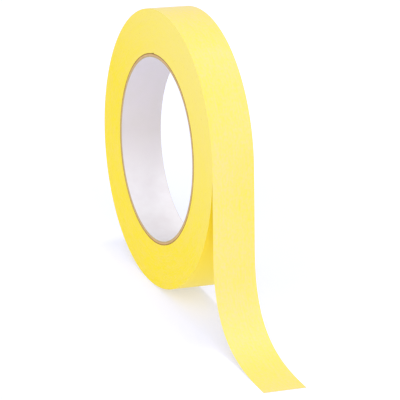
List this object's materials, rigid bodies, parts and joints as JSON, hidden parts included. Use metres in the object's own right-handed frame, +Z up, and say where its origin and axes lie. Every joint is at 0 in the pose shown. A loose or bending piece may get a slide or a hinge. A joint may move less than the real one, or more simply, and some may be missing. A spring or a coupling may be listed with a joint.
{
  "type": "masking tape roll",
  "caption": "Roll of creped paper masking tape wound on a paper core, with a free end that peels from the rim and lies on the surface.",
  "frame": {"origin": "centre of the core's bore, half way across the tape's width", "axes": "+Y along the roll's axis, +X towards the side where the free end leaves the rim, +Z up from the surface the roll stands on"},
  "size_m": [0.1748, 0.018, 0.1162],
  "materials": {
    "tape_backing": "matte",
    "tape_side": "matte",
    "tape_adhesive": "satin",
    "core_liner": "matte",
    "core_board": "matte",
    "core_kraft": "matte"
  },
  "bodies": {
    "roll": {"core_liner": "core_liner", "core_board_ply_1": "core_board", "core_board_ply_2": "core_board", "core_board_ply_3": "core_board", "core_board_ply_4": "core_board", "core_outer_ply": "core_kraft", "wound_tape": "tape_side", "outer_turn_adhesive": "tape_adhesive", "outer_turn_backing": "tape_backing"},
    "tail_01": {"tail_backing_01": "tape_backing", "tail_adhesive_01": "tape_adhesive"},
    "tail_02": {"tail_backing_02": "tape_backing", "tail_adhesive_02": "tape_adhesive"},
    "tail_03": {"tail_backing_03": "tape_backing", "tail_adhesive_03": "tape_adhesive"},
    "tail_04": {"tail_backing_04": "tape_backing", "tail_adhesive_04": "tape_adhesive"},
    "tail_05": {"tail_backing_05": "tape_backing", "tail_adhesive_05": "tape_adhesive"},
    "tail_06": {"tail_backing_06": "tape_backing", "tail_adhesive_06": "tape_adhesive"},
    "tail_07": {"tail_backing_07": "tape_backing", "tail_adhesive_07": "tape_adhesive"},
    "tail_08": {"tail_backing_08": "tape_backing", "tail_adhesive_08": "tape_adhesive"},
    "tail_09": {"tail_backing_09": "tape_backing", "tail_adhesive_09": "tape_adhesive"},
    "tail_10": {"tail_backing_10": "tape_backing", "tail_adhesive_10": "tape_adhesive"}
  },
  "joints": [
    {"name": "tail_peel", "type": "hinge", "parent": "roll", "child": "tail_01", "pos_m": [0.05725, 0, 0.01009], "axis": [0, -1, 0], "range_deg": [0, 90], "stiffness_Nm_per_rad": 0.00041},
    {"name": "tail_lay_down", "type": "hinge", "parent": "tail_01", "child": "tail_02", "pos_m": [0.0581, 0, 0.00459], "axis": [0, 1, 0], "range_deg": [-3.83, 10.93], "stiffness_Nm_per_rad": 0.00041},
    {"name": "tail_fold_02", "type": "hinge", "parent": "tail_02", "child": "tail_03", "pos_m": [0.06004, 0, -0.00639], "axis": [0, 1, 0], "range_deg": [-3.85, 10.95], "stiffness_Nm_per_rad": 0.00041},
    {"name": "tail_fold_03", "type": "hinge", "parent": "tail_03", "child": "tail_04", "pos_m": [0.06197, 0, -0.01736], "axis": [0, 1, 0], "range_deg": [-3.85, 10.95], "stiffness_Nm_per_rad": 0.00041},
    {"name": "tail_fold_04", "type": "hinge", "parent": "tail_04", "child": "tail_05", "pos_m": [0.06391, 0, -0.02834], "axis": [0, 1, 0], "range_deg": [-7.49, 21.35], "stiffness_Nm_per_rad": 0.00041},
    {"name": "tail_fold_05", "type": "hinge", "parent": "tail_05", "child": "tail_06", "pos_m": [0.06779, 0, -0.03878], "axis": [0, 1, 0], "range_deg": [-9.59, 27.35], "stiffness_Nm_per_rad": 0.00041},
    {"name": "tail_fold_06", "type": "hinge", "parent": "tail_06", "child": "tail_07", "pos_m": [0.07447, 0, -0.0477], "axis": [0, 1, 0], "range_deg": [-10.99, 31.35], "stiffness_Nm_per_rad": 0.00041},
    {"name": "tail_fold_07", "type": "hinge", "parent": "tail_07", "child": "tail_08", "pos_m": [0.08383, 0, -0.05374], "axis": [0, 1, 0], "range_deg": [-9.59, 27.35], "stiffness_Nm_per_rad": 0.00041},
    {"name": "tail_fold_08", "type": "hinge", "parent": "tail_08", "child": "tail_09", "pos_m": [0.09452, 0, -0.05689], "axis": [0, 1, 0], "range_deg": [-7.49, 21.35], "stiffness_Nm_per_rad": 0.00041},
    {"name": "tail_fold_09", "type": "hinge", "parent": "tail_09", "child": "tail_10", "pos_m": [0.10561, 0, -0.05805], "axis": [0, 1, 0], "range_deg": [-5.95, 16.95], "stiffness_Nm_per_rad": 0.00041}
  ],
  "couplings": [
    {"joint": "tail_fold_02", "follows": "tail_lay_down", "ratio": 1},
    {"joint": "tail_fold_03", "follows": "tail_lay_down", "ratio": 1},
    {"joint": "tail_fold_04", "follows": "tail_lay_down", "ratio": 1.9512},
    {"joint": "tail_fold_05", "follows": "tail_lay_down", "ratio": 2.5},
    {"joint": "tail_fold_06", "follows": "tail_lay_down", "ratio": 2.8658},
    {"joint": "tail_fold_07", "follows": "tail_lay_down", "ratio": 2.5},
    {"joint": "tail_fold_08", "follows": "tail_lay_down", "ratio": 1.9512},
    {"joint": "tail_fold_09", "follows": "tail_lay_down", "ratio": 1.5488}
  ]
}
